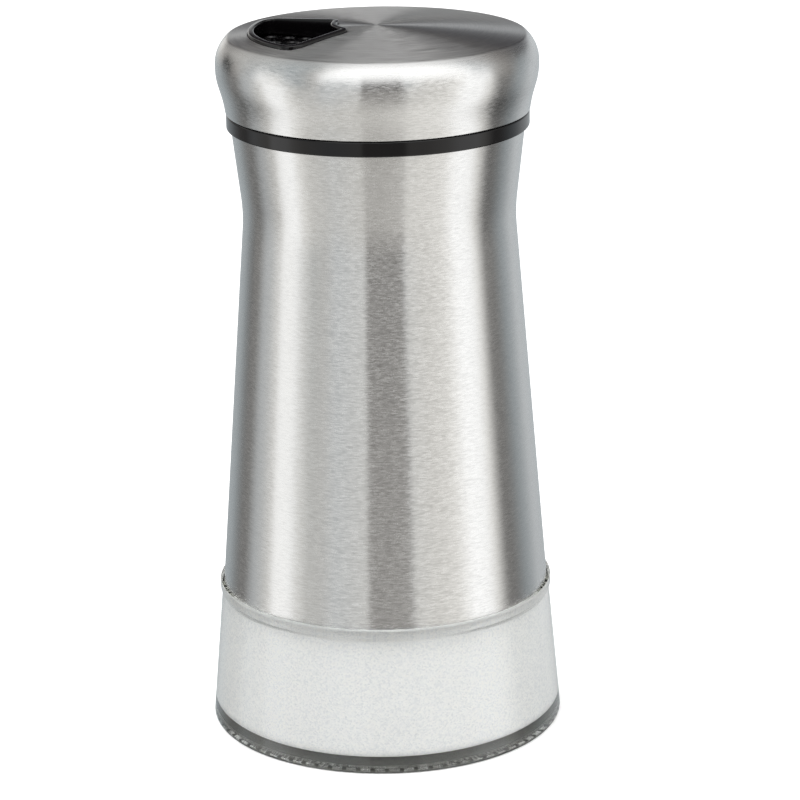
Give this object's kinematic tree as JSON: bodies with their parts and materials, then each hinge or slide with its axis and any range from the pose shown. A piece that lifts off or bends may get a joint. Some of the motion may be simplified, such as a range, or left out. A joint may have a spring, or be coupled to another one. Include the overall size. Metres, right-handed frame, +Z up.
{
  "type": "spice shaker dispenser",
  "caption": "Glass salt shaker in a waisted brushed steel sleeve, with a threaded cap and a turning steel top whose window selects a hole pattern.",
  "frame": {"origin": "centre of the foot of the glass, on the table", "axes": "+Z up along the axis of the jar, which all turning pieces share; -Y towards the camera of the picture"},
  "size_m": [0.0634, 0.0634, 0.1275],
  "materials": {
    "clear_glass": "clear pressed glass, faintly green in its edges",
    "salt": "dry white granules",
    "brushed_stainless": "brushed round the axis, spun on the flat top",
    "clear_adhesive": "cured clear adhesive",
    "black_plastic": "moulded, glossy",
    "gasket_rubber": "soft food-grade seal",
    "screw_steel": "plain stainless, satin"
  },
  "bodies": {
    "jar": {"glass_jar": "clear_glass", "salt_fill": "salt", "steel_sleeve": "brushed_stainless", "sleeve_bond_ring": "clear_adhesive", "sleeve_top_ring": "black_plastic"},
    "seal": {"mouth_gasket": "gasket_rubber"},
    "cap": {"screw_collar": "black_plastic", "pour_disc": "black_plastic"},
    "selector": {"cap_shell": "brushed_stainless", "selector_liner": "black_plastic", "pivot_screw": "screw_steel", "pivot_washer": "screw_steel"}
  },
  "joints": [
    {"name": "lid_lift", "type": "slide", "parent": "jar", "child": "seal", "axis": [0, 0, 1], "range_m": [0, 0.008]},
    {"name": "cap_unscrew", "type": "hinge", "parent": "seal", "child": "cap", "pos_m": [0, 0, 0.115], "axis": [0, 0, 1], "range_deg": [0, 720]},
    {"name": "selector_turn", "type": "hinge", "parent": "cap", "child": "selector", "pos_m": [0, 0, 0.1225], "axis": [0, 0, 1], "continuous": true}
  ],
  "couplings": [
    {"joint": "lid_lift", "follows": "cap_unscrew", "m_per_rad": 0.00063662}
  ]
}
